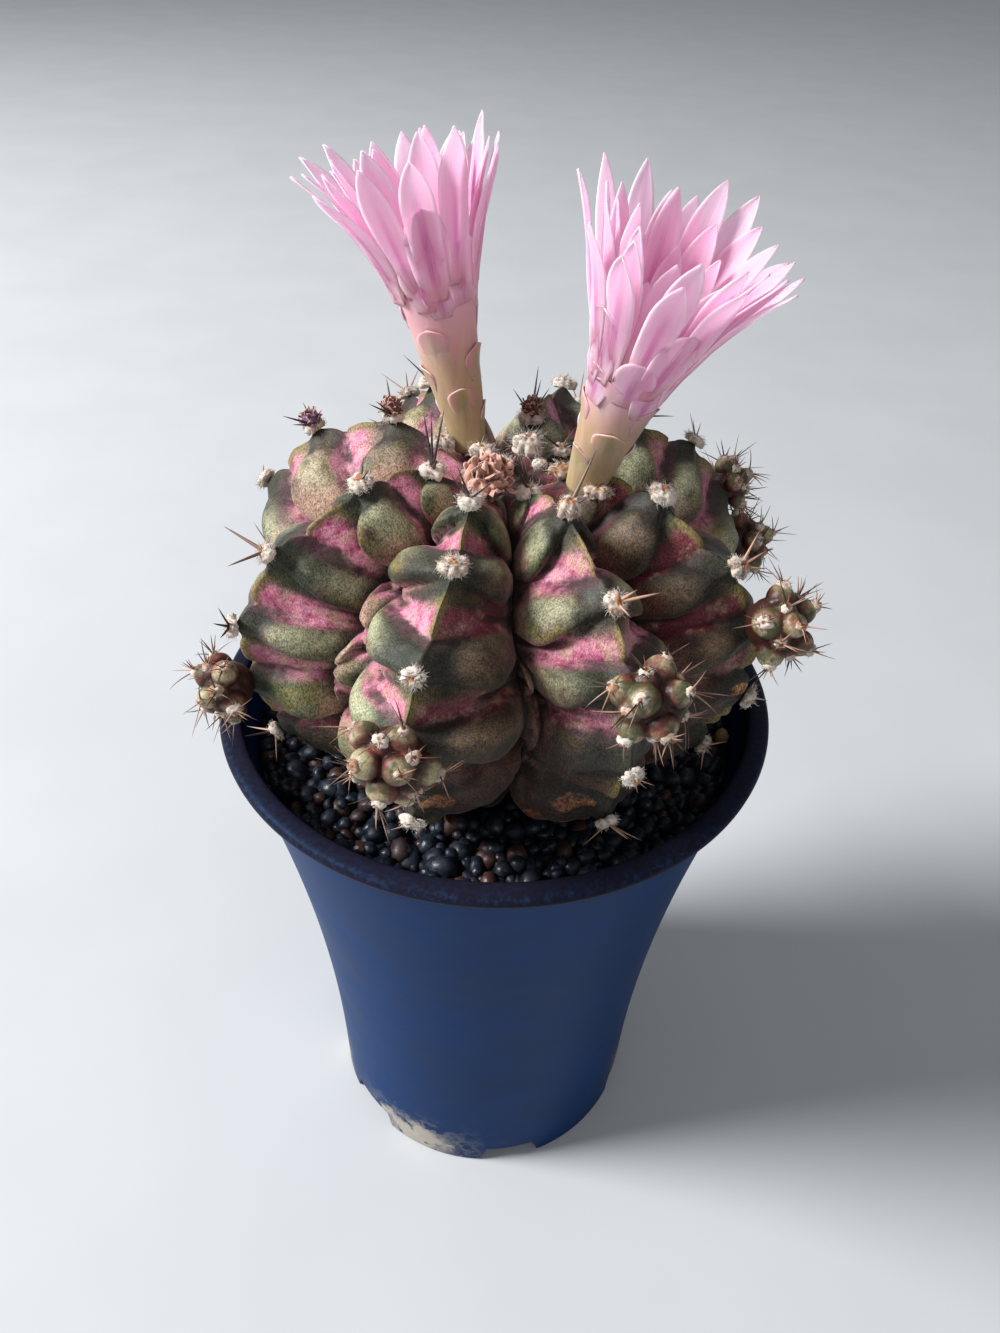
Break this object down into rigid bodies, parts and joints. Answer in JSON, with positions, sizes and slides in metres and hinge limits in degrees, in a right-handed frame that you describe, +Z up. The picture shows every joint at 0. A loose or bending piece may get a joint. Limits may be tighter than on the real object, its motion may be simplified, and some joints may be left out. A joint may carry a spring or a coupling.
{
  "type": "potted cactus",
  "caption": "Ribbed, variegated globe cactus with small offsets and open funnel-shaped flowers, standing in dark grit in a tall, flared plastic pot.",
  "frame": {"origin": "middle of the pot's flat underside, on the surface that it stands on", "axes": "+Z up along the pot's axis, and -Y towards the side that the picture shows"},
  "size_m": [0.0945, 0.0994, 0.19],
  "materials": {
    "pot_plastic": "satin",
    "grit": "satin",
    "cactus_skin": "matte",
    "offset_skin": "matte",
    "flower_tube": "satin",
    "petals": "satin",
    "stamens": "matte",
    "dried_flower": "matte",
    "bud_skin": "matte"
  },
  "bodies": {
    "root": {"pot": "pot_plastic", "soil": "grit", "cactus_body": "cactus_skin", "offset_front_left": "offset_skin", "offset_front_right": "offset_skin", "offset_right": "offset_skin", "offset_right_upper": "offset_skin", "offset_right_lower": "offset_skin", "offset_back": "offset_skin", "offset_left": "offset_skin", "flower_left_tube": "flower_tube", "flower_left_petals": "petals", "flower_left_stamens": "stamens", "flower_right_tube": "flower_tube", "flower_right_petals": "petals", "flower_right_stamens": "stamens", "dried_bloom": "dried_flower", "bud_left": "bud_skin", "bud_left_inner": "bud_skin", "bud_back": "bud_skin"}
  },
  "joints": []
}
